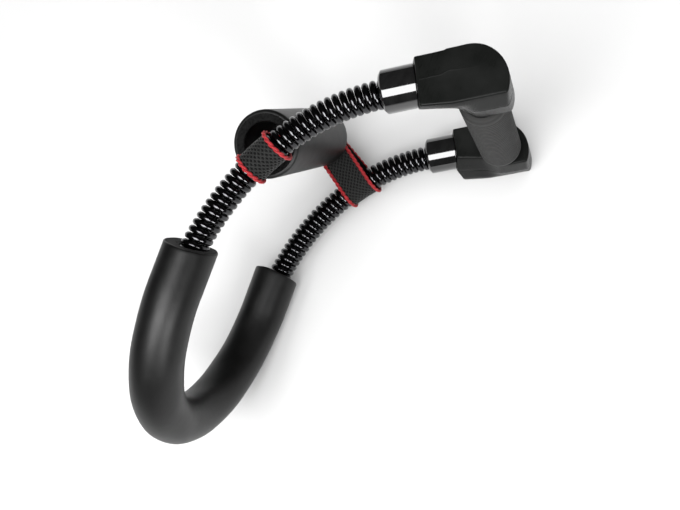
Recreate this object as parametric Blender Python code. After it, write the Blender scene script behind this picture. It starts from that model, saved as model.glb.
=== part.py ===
# Wrist and forearm exerciser: padded U frame, two coil springs, forearm pad on
# a webbing loop, and a cross handle held by two moulded end fittings.
#
# Frame: metres, +Z up. The device lies on its side, so Z runs across it, from
# the right spring (low) to the left spring (high). The springs bend in the XY
# plane. They are stored part-way through a pull, bent by about sixty degrees.
# The origin is under the centre of the bounding box, on the resting plane.
#
# Working coordinates used below, in millimetres until new_object scales them:
#   s  distance along a spring's centreline from the foam's cut end
#   n  distance from that centreline towards the outside of the bend
#   w  distance across the device from its middle plane, left positive
#   a, b  along and across an end fitting, measured from the end of the spring

import bpy
import bmesh
from math import sin, cos, tan, pi, radians, degrees, sqrt, atan2, acos, asin, hypot
from mathutils import Vector

MM = 0.001

# ---- driving dimensions (mm) ------------------------------------------------
HALF_SPAN = 84.0        # middle plane to each spring's centreline
LEG = 29.0              # straight part of the U beside each foam end
U_DEPTH = 96.0          # depth of the U's curved part
FOAM_R = 18.5           # foam sleeve outside radius
FOAM_LEAN = radians(12.0)   # the cut ends lean outwards: the bend stretches the outside
ROD_R = 5.0             # steel rod inside the foam
PILOT_R = 4.1           # turned-down rod end inside the spring

SPRING_MEAN_R = 7.5
WIRE_R = 2.25
PITCH = 5.0
WIRE_SIDES = 5
TURN_STEPS = 8
HIDDEN = 35.0           # spring length inside each foam leg
EXPOSED = 165.0         # spring length between the foam and the neck collar
NECK_COILS = 11.6       # spring length inside the neck collar
BEND = radians(61.6)    # stored bend over HIDDEN + EXPOSED
BEND_SLOPE = -0.30      # a little more bend near the handle

HINGES = (-12.0, 22.0, 56.0, 112.0, 134.0, 154.0)
SHARES = (-35.0, 5.0, 39.0, 84.0, 123.0, 144.0, 165.0)

STRAP_W = 25.0
STRAP_T = 1.1
STRAP_RAD = 10.6        # middle of the webbing where it wraps a spring
LOOP_S = (76.0, 103.0)  # stations of the left and the right loop
STRAP_N = (10.9, 42.0)  # webbing at the left and right end of the pad
STRAP_GAP = 0.95        # half the distance between the two layers' middles
PAD_HALF = 62.0
STRAP_BEND = 67.5         # the webbing turns towards a spring just past the pad
PAD_R = 23.9
PAD_BORE = 15.7
PAD_N = (15.9, 47.0)    # pad axis at its left and right end

NECK_R = 14.3
NECK_LIFT = 1.0         # the collar's middle, above the spring's
NECK_LEN = 21.5
BODY_A0 = 21.8
BASE_SLANT = 0.20       # the base falls back on both sides of the spring
HUB_A = 56.0
HUB_B = -10.2
HUB_R = 25.2
BODY_TOP = HUB_B + HUB_R
NECK_LOW, NECK_RISE = -19.2, 0.30       # underside at the base, rising inwards
KNEE_A, KNEE_DROP = 45.0, 4.0
FOOT_A = 57.0
FACE_W = 102.5          # outer face of a fitting, level with the foam's side
PART_W = 84.0           # plane where the two shells meet
INNER_W = 66.0
LOW_EDGE = -21.7        # lower edge of the outer face
LOW_SLOPE = 0.146       # how fast the underside drops towards the parting plane
INNER_RISE = 0.10       # how fast it rises again towards the grip
WALL = 3.0
FACET_B = -2.2          # ridge along the outer face
FACET_DROP = 3.5        # how far the face has fallen away at the body's top
SHOULDER = 1.0          # bevel between the neck and the body's top
AXLE_A, AXLE_B = 60.0, -9.0

TUBE_R, TUBE_IN = 10.0, 8.0
TUBE_HALF = 71.5
GRIP_R = 16.0
GRIP_HALF = 60.0
COLLAR_R = 12.6
GAP = 0.3

LEFT, RIGHT = 1, -1


# ---- clean start ------------------------------------------------------------
for old in list(bpy.data.objects):
    bpy.data.objects.remove(old, do_unlink=True)


# ---- the bent centreline ----------------------------------------------------
def bend_angle(s):
    """Angle the spring has turned through at s (radians, clockwise from +Z)."""
    if s <= -HIDDEN:
        return 0.0
    if s > EXPOSED:
        return bend_angle(EXPOSED)
    u = (s + HIDDEN) / (HIDDEN + EXPOSED)
    return BEND * ((1.0 + BEND_SLOPE) * u - BEND_SLOPE * u * u)


STEP = 0.5
TABLE = [(-HIDDEN, 0.0)]
for k in range(int((HIDDEN + EXPOSED + 2 * NECK_COILS) / STEP)):
    mid = -HIDDEN + (k + 0.5) * STEP
    px, py = TABLE[-1]
    TABLE.append((px + cos(bend_angle(mid)) * STEP, py - sin(bend_angle(mid)) * STEP))


def centre(s):
    """Point of the centreline at s, in the bend plane (mm)."""
    if s <= -HIDDEN:
        return (s, 0.0)
    f = (s + HIDDEN) / STEP
    i = min(int(f), len(TABLE) - 2)
    f -= i
    x0, y0 = TABLE[i]
    x1, y1 = TABLE[i + 1]
    return (x0 + (x1 - x0) * f, y0 + (y1 - y0) * f)


def at(s, n, w):
    """World point (mm) from distance along, outside offset and width."""
    x, y = centre(s)
    t = bend_angle(s)
    return Vector((x + n * sin(t), y + n * cos(t), w))


END_T = bend_angle(EXPOSED)
END = centre(EXPOSED)


def fit(a, b, w):
    """World point (mm) in an end fitting's own directions."""
    return Vector((END[0] + a * cos(END_T) + b * sin(END_T),
                   END[1] - a * sin(END_T) + b * cos(END_T), w))


# ---- mesh helpers -----------------------------------------------------------
BUILT = []


def new_object(name, verts, faces, colour, rough, metal=0.0, smooth=True, angle=35.0):
    mesh = bpy.data.meshes.new(name)
    mesh.from_pydata([tuple(Vector(v) * MM) for v in verts], [], faces)
    bm = bmesh.new()
    bm.from_mesh(mesh)
    bmesh.ops.recalc_face_normals(bm, faces=bm.faces)
    bm.to_mesh(mesh)
    bm.free()
    if smooth:
        mesh.shade_smooth()
        mesh.set_sharp_from_angle(angle=radians(angle))
    obj = bpy.data.objects.new(name, mesh)
    bpy.context.scene.collection.objects.link(obj)
    mat = bpy.data.materials.new(name + "_material")
    mat.use_nodes = True
    bsdf = mat.node_tree.nodes["Principled BSDF"]
    bsdf.inputs["Base Color"].default_value = (*colour, 1.0)
    bsdf.inputs["Roughness"].default_value = rough
    bsdf.inputs["Metallic"].default_value = metal
    mesh.materials.append(mat)
    BUILT.append(obj)
    return obj


def capped_loft(rings):
    """Closed solid through rings of equal size, with flat ends."""
    n = len(rings[0])
    verts = [p for r in rings for p in r]
    faces = [[i * n + j, i * n + (j + 1) % n, (i + 1) * n + (j + 1) % n, (i + 1) * n + j]
             for i in range(len(rings) - 1) for j in range(n)]
    faces.append(list(range(n)))
    faces.append([(len(rings) - 1) * n + j for j in range(n)])
    return verts, faces


def looped_loft(rings):
    """Closed solid through rings that come back to the first one."""
    n, m = len(rings[0]), len(rings)
    verts = [p for r in rings for p in r]
    faces = [[i * n + j, i * n + (j + 1) % n,
              ((i + 1) % m) * n + (j + 1) % n, ((i + 1) % m) * n + j]
             for i in range(m) for j in range(n)]
    return verts, faces


def join(*solids):
    verts, faces = [], []
    for v, f in solids:
        base = len(verts)
        verts += v
        faces += [[i + base for i in face] for face in f]
    return verts, faces


def z_ring(place, a, b, radius, w, count):
    return [place(a + radius * cos(2 * pi * i / count),
                  b + radius * sin(2 * pi * i / count), w) for i in range(count)]


def turned_z(place, a, b, profile, count):
    """Solid turned about a line along Z. profile: (radius, w) pairs, end to end."""
    return capped_loft([z_ring(place, a, b, r, w, count) for r, w in profile])


def sleeve_z(place, a, b, profile, count):
    """Turned solid with a bore. profile: a closed loop of (radius, w) pairs."""
    return looped_loft([z_ring(place, a, b, r, w, count) for r, w in profile])


def a_ring(radius, a, w, count):
    return [fit(a, radius * cos(2 * pi * i / count), w + radius * sin(2 * pi * i / count))
            for i in range(count)]


def s_ring(radius, s, w, count, shift=0.0):
    return [at(s, shift + radius * cos(2 * pi * i / count),
               w + radius * sin(2 * pi * i / count)) for i in range(count)]


def coil(s0, s1, w, start_gap, end_gap):
    """Round wire wound right-handed about the centreline between two stations."""
    per = 2 * pi / PITCH
    phi0 = s0 * per + start_gap
    phi1 = s1 * per - end_gap
    step = 2 * pi / TURN_STEPS
    stations = [phi0]
    k = int(phi0 / step) - 1
    while True:
        k += 1
        phi = k * step
        if phi <= phi0 + 0.25 * step:
            continue
        if phi >= phi1 - 0.25 * step:
            break
        stations.append(phi)
    stations.append(phi1)

    def wire(phi, r=SPRING_MEAN_R):
        return at(phi / per, r * cos(phi), w + r * sin(phi))
    rings = []
    for phi in stations:
        c = wire(phi)
        tangent = (wire(phi + 0.02) - wire(phi - 0.02)).normalized()
        out = (wire(phi, SPRING_MEAN_R + 1.0) - c).normalized()
        side = tangent.cross(out).normalized()
        out = side.cross(tangent).normalized()
        rings.append([c + WIRE_R * (cos(2 * pi * j / WIRE_SIDES) * out
                                    + sin(2 * pi * j / WIRE_SIDES) * side)
                      for j in range(WIRE_SIDES)])
    return capped_loft(rings)


# ---- colours ----------------------------------------------------------------
FOAM = (0.030, 0.031, 0.032)
STEEL = (0.55, 0.56, 0.58)
BLACK_GLOSS = (0.012, 0.012, 0.013)
BLACK_SATIN = (0.020, 0.021, 0.020)
WEB = (0.022, 0.023, 0.023)
RED = (0.55, 0.030, 0.040)
RUBBER = (0.018, 0.018, 0.018)

BODIES = {name: [] for name in
          ("frame", "spring_seg_1", "spring_seg_2", "spring_mid", "spring_seg_4",
           "spring_seg_5", "handle", "strap", "pad")}


def put(body, obj):
    BODIES[body].append(obj)
    return obj


# ---- U frame ----------------------------------------------------------------
def u_stations(leg_points, curve_steps):
    """Stations round the U from the left foam end to the right one: (x, w, tx, tw)."""
    out = [(x, HALF_SPAN, -1.0, 0.0) for x in leg_points]
    for i in range(1, curve_steps):
        t = pi * i / curve_steps
        x = -LEG - U_DEPTH * sin(t)
        w = HALF_SPAN * cos(t)
        tx, tw = -U_DEPTH * cos(t), -HALF_SPAN * sin(t)
        k = hypot(tx, tw)
        out.append((x, w, tx / k, tw / k))
    out += [(x, -HALF_SPAN, 1.0, 0.0) for x in reversed(leg_points)]
    return out


def u_ring(station, radius, count, shift=0.0):
    x, w, tx, tw = station
    return [Vector((x - tw * radius * sin(2 * pi * i / count),
                    shift + radius * cos(2 * pi * i / count),
                    w + tx * radius * sin(2 * pi * i / count))) for i in range(count)]


def lean(ring):
    """Slant a ring of the foam's mouth, so that its outer side is set back."""
    for p in ring:
        p.x -= (abs(p.z) - HALF_SPAN) * tan(FOAM_LEAN)
    return ring


# rod: full size round the U, turned down at both ends to enter the springs
rod_rings = []
stations = u_stations([-17.0, -35.6, -35.9], 22)
stations = [s for s in stations if s[0] <= -17.0 + 1e-6]
for k, st in enumerate(stations):
    near_end = k < 2 or k >= len(stations) - 2
    rod_rings.append(u_ring(st, PILOT_R if near_end else ROD_R, 10))
put("frame", new_object("u_rod", *capped_loft(rod_rings), STEEL, 0.35, 1.0))

# foam sleeve: one closed tube with a bore that widens over each leg
FERRULE_R = 11.7
CURVE = 22
leg_outer = [0.0, -1.2, -14.5, -29.0]
outer = []
for x in leg_outer:
    ring = u_ring((x, HALF_SPAN, -1.0, 0.0), FOAM_R - (0.9 if x == 0.0 else 0.0), 20)
    outer.append(lean(ring) if x > -2.0 else ring)
mid_st = u_stations([], CURVE)
for st in mid_st:
    outer.append(u_ring(st, FOAM_R, 20))
for x in reversed(leg_outer):
    ring = u_ring((x, -HALF_SPAN, 1.0, 0.0), FOAM_R - (0.9 if x == 0.0 else 0.0), 20)
    outer.append(lean(ring) if x > -2.0 else ring)
BORE_WIDE = FERRULE_R + 0.5
BORE_SPRING = SPRING_MEAN_R + WIRE_R + 0.45
BORE_ROD = ROD_R + GAP


def leg_bore(sign):
    out = []
    for x, r in ((0.0, BORE_SPRING), (-7.0, BORE_SPRING), (-14.0, BORE_SPRING),
                 (-21.0, BORE_SPRING), (-21.0, BORE_WIDE), (-41.0, BORE_WIDE)):
        shift = centre(x)[1] if r == BORE_SPRING else 0.0
        ring = u_ring((x, sign * HALF_SPAN, -1.0 * sign, 0.0), r, 20, shift)
        out.append(lean(ring) if x == 0.0 else ring)
    return out


def curved_u(x):
    """Half width of the U's centreline at x, inside its curved part."""
    return HALF_SPAN * sqrt(max(0.0, 1.0 - ((-x - LEG) / U_DEPTH) ** 2))


inner = leg_bore(RIGHT)
rod_bore = []
for st in mid_st:
    if st[0] < -41.5:
        rod_bore.append(u_ring(st, BORE_ROD, 20))
inner_left = leg_bore(LEFT)
first = (-41.0, curved_u(-41.0), -1.0, 0.0)
last = (-41.0, -curved_u(-41.0), 1.0, 0.0)
inner_path = (inner_left + [u_ring(first, BORE_ROD, 20)] + rod_bore
              + [u_ring(last, BORE_ROD, 20)] + list(reversed(inner)))
put("frame", new_object("foam_sleeve", *looped_loft(outer + list(reversed(inner_path))),
                        FOAM, 0.85))

# ferrules: steel cups that clamp each spring's first coils onto the rod
for side, tag in ((LEFT, "left"), (RIGHT, "right")):
    w = side * HALF_SPAN
    hole = ROD_R + 3.5 * GAP
    prof = ((hole, -40.2), (FERRULE_R, -40.2), (FERRULE_R, -22.0),
            (SPRING_MEAN_R + WIRE_R + GAP + 0.35, -22.0),
            (SPRING_MEAN_R + WIRE_R + GAP + 0.35, -36.0), (hole, -36.0))
    rings = [[Vector((x, r * cos(2 * pi * i / 16), w + r * sin(2 * pi * i / 16)))
              for i in range(16)] for r, x in prof]
    put("frame", new_object("lower_ferrule_" + tag, *looped_loft(rings), STEEL, 0.40, 1.0))

# ---- springs, cut where the chain of joints bends ---------------------------
CHAIN = ("frame", "spring_seg_1", "spring_seg_2", "spring_mid", "spring_seg_4",
         "spring_seg_5", "handle")
CUTS = (-HIDDEN + 1.5,) + HINGES + (EXPOSED + NECK_COILS,)
for side, tag in ((LEFT, "left"), (RIGHT, "right")):
    for k, body in enumerate(CHAIN):
        put(body, new_object("spring_%s_%d" % (tag, k + 1),
                             *coil(CUTS[k], CUTS[k + 1], side * HALF_SPAN,
                                   0.03, 0.03),
                             BLACK_GLOSS, 0.18, 0.3))


# ---- webbing loop and forearm pad -------------------------------------------
def tangent_point(c, r, p, upper):
    """Where the line from p touches the circle of radius r about c."""
    dx, dy = p[0] - c[0], p[1] - c[1]
    d = hypot(dx, dy)
    base = atan2(dy, dx)
    spread = acos(min(1.0, r / d))
    for sign in (1, -1):
        ang = base + sign * spread
        q = (c[0] + r * cos(ang), c[1] + r * sin(ang))
        if (q[1] > c[1]) == upper:
            return q, ang
    return q, ang


def strap_path(offset, steps=11):
    """Closed outline of the loop in (w, n), at a distance outside its middle."""
    r = STRAP_RAD + offset
    g = STRAP_GAP + offset
    pts = []
    lc, rc = (HALF_SPAN, 0.0), (-HALF_SPAN, 0.0)
    slope = (STRAP_N[1] - STRAP_N[0]) / (2 * PAD_HALF)
    n0 = STRAP_N[0] - slope * (STRAP_BEND - PAD_HALF)
    n1 = STRAP_N[1] + slope * (STRAP_BEND - PAD_HALF)
    lt, la = tangent_point(lc, r, (STRAP_BEND, n0 + g), True)
    lb, lba = tangent_point(lc, r, (STRAP_BEND, n0 - g), False)
    rt, ra = tangent_point(rc, r, (-STRAP_BEND, n1 + g), True)
    rb, rba = tangent_point(rc, r, (-STRAP_BEND, n1 - g), False)
    if lba > la:
        lba -= 2 * pi
    for i in range(steps + 1):                      # left loop, lower to upper
        t = lba + (la - lba) * i / steps
        pts.append((lc[0] + r * cos(t), r * sin(t)))
    for i in range(5):                              # upper layer
        f = i / 4
        pts.append((STRAP_BEND * (1 - 2 * f), n0 + (n1 - n0) * f + g))
    ra = ra % (2 * pi)
    rba = rba % (2 * pi)
    for i in range(steps + 1):                      # right loop, upper to lower
        t = ra + (rba - ra) * i / steps
        pts.append((rc[0] + r * cos(t), r * sin(t)))
    for i in range(5):                              # lower layer
        f = 1 - i / 4
        pts.append((STRAP_BEND * (1 - 2 * f), n0 + (n1 - n0) * f - g))
    return pts


def loop_s(w):
    f = (HALF_SPAN - w) / (2 * HALF_SPAN)
    return LOOP_S[0] + (LOOP_S[1] - LOOP_S[0]) * f


def strap_at(w, n, v):
    """Point on the strap. It keeps its width where it lies outside the springs' bend."""
    s = loop_s(w)
    curvature = (bend_angle(s + 1.0) - bend_angle(s - 1.0)) / 2.0
    return at(s + v / (1.0 + n * curvature), n, w)


def band(inner_off, outer_off, v0, v1, cuts):
    """Closed band along the strap, between two offsets and two width positions."""
    out_pts, in_pts = strap_path(outer_off), strap_path(inner_off)
    rings = []
    for k in range(cuts + 1):
        v = v0 + (v1 - v0) * k / cuts
        rings.append([strap_at(w, n, v) for w, n in out_pts])
    for k in range(cuts, -1, -1):
        v = v0 + (v1 - v0) * k / cuts
        rings.append([strap_at(w, n, v) for w, n in in_pts])
    return looped_loft(rings)


put("strap", new_object("webbing_loop", *band(-STRAP_T / 2, STRAP_T / 2, -STRAP_W / 2,
                                              STRAP_W / 2, 4), WEB, 0.8))
put("strap", new_object("red_edge_elbow_side", *band(STRAP_T / 2 + 0.25, STRAP_T / 2 + 1.25,
                                                     -STRAP_W / 2 - 0.1, -STRAP_W / 2 + 2.1, 1),
                        RED, 0.6))
put("strap", new_object("red_edge_hand_side", *band(STRAP_T / 2 + 0.25, STRAP_T / 2 + 1.25,
                                                    STRAP_W / 2 - 2.1, STRAP_W / 2 + 0.1, 1),
                        RED, 0.6))

PAD_A = at(loop_s(PAD_HALF), PAD_N[0], PAD_HALF)
PAD_B = at(loop_s(-PAD_HALF), PAD_N[1], -PAD_HALF)
PAD_AXIS = (PAD_A - PAD_B).normalized()
side_dir = PAD_AXIS.cross(Vector((0, 0, 1))).normalized()
up_dir = side_dir.cross(PAD_AXIS).normalized()


def pad_ring(t, r, count=24):
    c = PAD_B + (PAD_A - PAD_B) * t
    return [c + r * (cos(2 * pi * i / count) * side_dir + sin(2 * pi * i / count) * up_dir)
            for i in range(count)]


soft = 2.0 / (PAD_A - PAD_B).length
pad_rings = [pad_ring(0.0, PAD_BORE), pad_ring(0.0, PAD_R - 2.0), pad_ring(soft, PAD_R),
             pad_ring(1.0 - soft, PAD_R), pad_ring(1.0, PAD_R - 2.0), pad_ring(1.0, PAD_BORE)]
put("pad", new_object("forearm_pad", *looped_loft(pad_rings), FOAM, 0.85))

# ---- handle -----------------------------------------------------------------
put("handle", new_object("handle_tube", *sleeve_z(fit, AXLE_A, AXLE_B, (
    (TUBE_R, -TUBE_HALF), (TUBE_R, TUBE_HALF), (TUBE_IN, TUBE_HALF), (TUBE_IN, -TUBE_HALF)),
    20), STEEL, 0.35, 1.0))
put("handle", new_object("grip_sleeve", *sleeve_z(fit, AXLE_A, AXLE_B, (
    (TUBE_R + GAP, -GRIP_HALF), (GRIP_R - 1.0, -GRIP_HALF), (GRIP_R, -GRIP_HALF + 1.5),
    (GRIP_R, GRIP_HALF - 1.5), (GRIP_R - 1.0, GRIP_HALF), (TUBE_R + GAP, GRIP_HALF)),
    24), RUBBER, 0.8))


RIDGE_STEPS, ARC_STEPS = 7, 6
RIDGE_FIRST, RIDGE_LAST = 3, 9 + RIDGE_STEPS    # outline points on the ridge


def outline(w, inset=0.0):
    """Side outline of a fitting's shell at width w (mm, always taken positive)."""
    if w > PART_W:
        low = LOW_EDGE - (FACE_W - w) * LOW_SLOPE + inset
    else:
        low = LOW_EDGE - (FACE_W - PART_W) * LOW_SLOPE + (PART_W - w) * INNER_RISE + inset
    r = HUB_R - inset
    a0 = BODY_A0 + BASE_SLANT * abs(w - PART_W) + inset
    top = BODY_TOP - inset
    base = NECK_LOW + NECK_RISE * max(0.0, FACE_W - 4.5 - w) + inset
    end = asin((low - HUB_B) / r)

    def run(p, q, count):
        return [(p[0] + (q[0] - p[0]) * i / count, p[1] + (q[1] - p[1]) * i / count)
                for i in range(count)]

    ridge = asin((FACET_B - HUB_B) / r)
    pts = (run((a0, base), (a0, FACET_B), 3) + run((a0, FACET_B), (a0, top - SHOULDER), 1)
           + run((a0, top - SHOULDER), (a0 + SHOULDER, top), 1)
           + run((a0 + SHOULDER, top), (HUB_A, HUB_B + r), 4))
    for i in range(RIDGE_STEPS):
        t = pi / 2 + (ridge - pi / 2) * i / RIDGE_STEPS
        pts.append((HUB_A + r * cos(t), HUB_B + r * sin(t)))
    for i in range(ARC_STEPS):
        t = ridge + (end - ridge) * i / ARC_STEPS
        pts.append((HUB_A + r * cos(t), HUB_B + r * sin(t)))
    corner = (HUB_A + r * cos(end), HUB_B + r * sin(end))
    foot, knee = (FOOT_A, low), (KNEE_A, max(base - KNEE_DROP, low))
    pts += run(corner, foot, 3) + run(foot, knee, 3) + run(knee, (a0, base), 3)
    return pts


def shell_ring(w, inset, sign):
    return [fit(a, b, sign * w) for a, b in outline(w, inset)]


def face_ring(below, inset, sign):
    """Ring at a distance below the outer face, which is flat below its ridge and
    falls away gently above it."""
    out = []
    for a, b in outline(FACE_W - below, inset):
        drop = FACET_DROP * max(0.0, b - FACET_B) / (BODY_TOP - FACET_B)
        out.append(fit(a, b, sign * (FACE_W - below - drop)))
    return out


def hub_ring(radius, w, sign):
    """Round hole about the handle's axis with as many points as an outline."""
    pts = outline(INNER_W)
    out = []
    for a, b in pts:
        t = atan2(b - AXLE_B, a - AXLE_A)
        out.append(fit(AXLE_A + radius * cos(t), AXLE_B + radius * sin(t), sign * w))
    return out


def neck_ring(w0, r, a, lift, slant, count=20):
    """Ring of the neck collar; its end follows the base of the shells."""
    out = []
    for i in range(count):
        t = 2 * pi * i / count
        out.append(fit(a + slant * abs(r * sin(t)), lift + r * cos(t), w0 + r * sin(t)))
    return out


def cutter(name, verts_faces):
    obj = new_object(name, *verts_faces, (0.5, 0.5, 0.5), 0.5)
    BUILT.remove(obj)
    obj.hide_render = True
    obj.display_type = "WIRE"
    return obj


def cut(obj, *cutters):
    for tool in cutters:
        mod = obj.modifiers.new("cut_" + tool.name, "BOOLEAN")
        mod.operation = "DIFFERENCE"
        mod.solver = "EXACT"
        mod.object = tool


CUTTERS = []
for side, tag in ((LEFT, "left"), (RIGHT, "right")):
    w0 = side * HALF_SPAN
    # neck collar: turned ring over the spring's last coils
    neck_prof = ((NECK_R - 2.2, 0.0, NECK_LIFT, 0.0), (NECK_R, 1.8, NECK_LIFT, 0.0),
                 (NECK_R, NECK_LEN, NECK_LIFT, BASE_SLANT), (4.6, NECK_LEN, 0.0, BASE_SLANT),
                 (4.6, NECK_LEN - 3.0, 0.0, 0.0),
                 (SPRING_MEAN_R + WIRE_R + GAP, NECK_LEN - 3.0, 0.0, 0.0),
                 (SPRING_MEAN_R + WIRE_R + GAP, 0.0, 0.0, 0.0))
    put("handle", new_object("neck_collar_" + tag,
                             *looped_loft([neck_ring(w0, *row) for row in neck_prof]),
                             BLACK_GLOSS, 0.12))
    # stud: plug inside the spring, shoulder, and shank into the block
    stud_prof = ((4.0, -6.0), (4.9, -5.0), (4.9, 14.2), (8.0, 14.2), (8.0, 18.0), (3.9, 18.0),
                 (3.9, 55.0))
    put("handle", new_object("spring_stud_" + tag,
                             *capped_loft([a_ring(r, a, w0, 14) for r, a in stud_prof]),
                             STEEL, 0.4, 1.0))
    # block that joins the stud to the handle's end
    lo, hi = side * 72.0, side * 92.0
    block = capped_loft([[fit(a, b, z) for a, b in ((52, -14.5), (56, -16), (70, -16), (70, 5.5),
                                                (46, 5.5), (46, -5.5))]
                         for z in (lo, hi)])
    block_obj = new_object("end_block_" + tag, *block, STEEL, 0.45, 1.0, smooth=False)
    put("handle", block_obj)
    c1 = cutter("cut_bolt_" + tag, turned_z(fit, AXLE_A, AXLE_B,
                                            ((4.3, side * 60.0), (4.3, side * 97.0)), 16))
    c2 = cutter("cut_stud_" + tag, capped_loft([a_ring(4.3, 18.5, w0, 16),
                                                a_ring(4.3, 56.0, w0, 16)]))
    CUTTERS += [c1, c2]
    cut(block_obj, c1, c2)
    # plug in the tube's end, with the bolt's hole
    put("handle", new_object("tube_plug_" + tag, *sleeve_z(fit, AXLE_A, AXLE_B, (
        (4.3, side * 52.0), (TUBE_IN - GAP, side * 52.0), (TUBE_IN - GAP, side * 71.5),
        (4.3, side * 71.5)), 16), STEEL, 0.5, 1.0))
    put("handle", new_object("handle_bolt_" + tag, *turned_z(fit, AXLE_A, AXLE_B, (
        (3.9, side * 50.0), (3.9, side * 92.3), (7.0, side * 92.3), (7.0, side * 97.0)), 12),
        STEEL, 0.4, 1.0, smooth=False))
    # spacer ring between the grip and the fitting
    put("handle", new_object("grip_collar_" + tag, *sleeve_z(fit, AXLE_A, AXLE_B, (
        (TUBE_R + GAP, side * 60.4), (COLLAR_R - 0.6, side * 60.4), (COLLAR_R, side * 61.0),
        (COLLAR_R, side * 65.7), (TUBE_R + GAP, side * 65.7)), 24), BLACK_SATIN, 0.5))
    # inner shell: open towards the outer one, with a hole for the tube
    rings = [shell_ring(PART_W - GAP / 2, 0.0, side), shell_ring(INNER_W + 1.0, 0.0, side),
             shell_ring(INNER_W, 1.0, side), hub_ring(TUBE_R + 2 * GAP, INNER_W, side),
             hub_ring(TUBE_R + 2 * GAP, INNER_W + WALL, side),
             shell_ring(INNER_W + WALL, WALL, side), shell_ring(PART_W - GAP / 2, WALL, side)]
    inner_obj = new_object("inner_shell_" + tag, *looped_loft(rings), BLACK_SATIN, 0.38)
    put("handle", inner_obj)
    # outer shell: closed cup with the ridged outer face
    stack = [shell_ring(FACE_W - 4.5, WALL, side), shell_ring(PART_W + GAP / 2, WALL, side),
             shell_ring(PART_W + GAP / 2, 0.0, side), face_ring(5.0, 0.0, side),
             face_ring(1.0, 0.4, side), face_ring(0.0, 1.4, side)]
    verts, faces = capped_loft(stack)
    cap = faces.pop()
    faces.append(cap[RIDGE_FIRST:RIDGE_LAST + 1])
    faces.append(cap[RIDGE_LAST:] + cap[:RIDGE_FIRST + 1])
    outer_obj = new_object("outer_shell_" + tag, verts, faces, BLACK_SATIN, 0.38,
                           angle=25.0)
    put("handle", outer_obj)
    cut(inner_obj, c2)
    cut(outer_obj, c2)


# ---- bodies, joint axes and placing -----------------------------------------
share = [bend_angle(SHARES[k + 1]) - bend_angle(SHARES[k]) for k in range(6)]
hinge_at = [at(s, 0.0, 0.0) for s in HINGES]
slide_s = 0.5 * (LOOP_S[0] + LOOP_S[1])
curvature = (bend_angle(slide_s + 10.0) - bend_angle(slide_s - 10.0)) / 20.0
slide_centre = at(slide_s, -1.0 / curvature, 0.0)
pad_mid = (PAD_A + PAD_B) / 2

bpy.context.view_layer.update()
low, high = [1e9] * 3, [-1e9] * 3
for obj in BUILT:
    for v in obj.data.vertices:
        for i in range(3):
            low[i] = min(low[i], v.co[i])
            high[i] = max(high[i], v.co[i])
# move everything so that the origin is under the middle of the model's box
SHIFT = Vector((-(low[0] + high[0]) / 2, -(low[1] + high[1]) / 2, -low[2]))

AXES = {"frame": Vector((0, 0, 0)), "spring_seg_1": hinge_at[0], "spring_seg_2": hinge_at[1],
        "spring_mid": hinge_at[2], "spring_seg_4": hinge_at[3], "spring_seg_5": hinge_at[4],
        "handle": hinge_at[5], "strap": slide_centre, "pad": pad_mid}
PARENT = {"spring_seg_1": "frame", "spring_seg_2": "spring_seg_1",
          "spring_mid": "spring_seg_2", "spring_seg_4": "spring_mid",
          "spring_seg_5": "spring_seg_4", "handle": "spring_seg_5",
          "strap": "spring_mid", "pad": "strap"}
EMPTY = {}
for name in ("frame", "spring_seg_1", "spring_seg_2", "spring_mid", "spring_seg_4",
             "spring_seg_5", "handle", "strap", "pad"):
    empty = bpy.data.objects.new("axis_" + name, None)
    empty.empty_display_size = 0.01
    bpy.context.scene.collection.objects.link(empty)
    where = AXES[name] * MM + SHIFT
    if name in PARENT:
        empty.parent = EMPTY[PARENT[name]]
        empty.location = where - (AXES[PARENT[name]] * MM + SHIFT)
    else:
        empty.location = where
    EMPTY[name] = empty
    for obj in BODIES[name]:
        offset = AXES[name] * MM
        for v in obj.data.vertices:
            v.co -= offset
        obj.parent = empty
for tool in CUTTERS:
    offset = AXES["handle"] * MM
    for v in tool.data.vertices:
        v.co -= offset
    tool.parent = EMPTY["handle"]
bpy.context.view_layer.update()

# a short summary of the joints for whoever runs this
for k, s in enumerate(HINGES):
    p = hinge_at[k] * MM + SHIFT
    print("JOINT flex_%d at %.6f %.6f %.6f share %.4f deg ratio %.5f"
          % (k + 1, p.x, p.y, p.z, degrees(share[k]), share[k] / share[0]))
p = slide_centre * MM + SHIFT
print("JOINT pad_slide at %.6f %.6f %.6f radius %.2f mm" % (p.x, p.y, p.z, 1.0 / curvature))
p = pad_mid * MM + SHIFT
print("JOINT pad_roll at %.6f %.6f %.6f axis %.6f %.6f %.6f"
      % (p.x, p.y, p.z, PAD_AXIS.x, PAD_AXIS.y, PAD_AXIS.z))
p = fit(AXLE_A, AXLE_B, -FACE_W) * MM + SHIFT
q = fit(AXLE_A, AXLE_B, FACE_W) * MM + SHIFT
print("FACES right %.6f %.6f %.6f left %.6f %.6f %.6f" % (*p, *q))
print("SHIFT %.6f %.6f %.6f END %.4f %.4f angle %.4f" % (*SHIFT, END[0], END[1], degrees(END_T)))
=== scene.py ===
from math import sin, cos, tan, pi, radians, sqrt, atan2, acos, asin, hypot

import bpy
import bmesh
import numpy as np
from mathutils import Matrix, Vector

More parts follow.
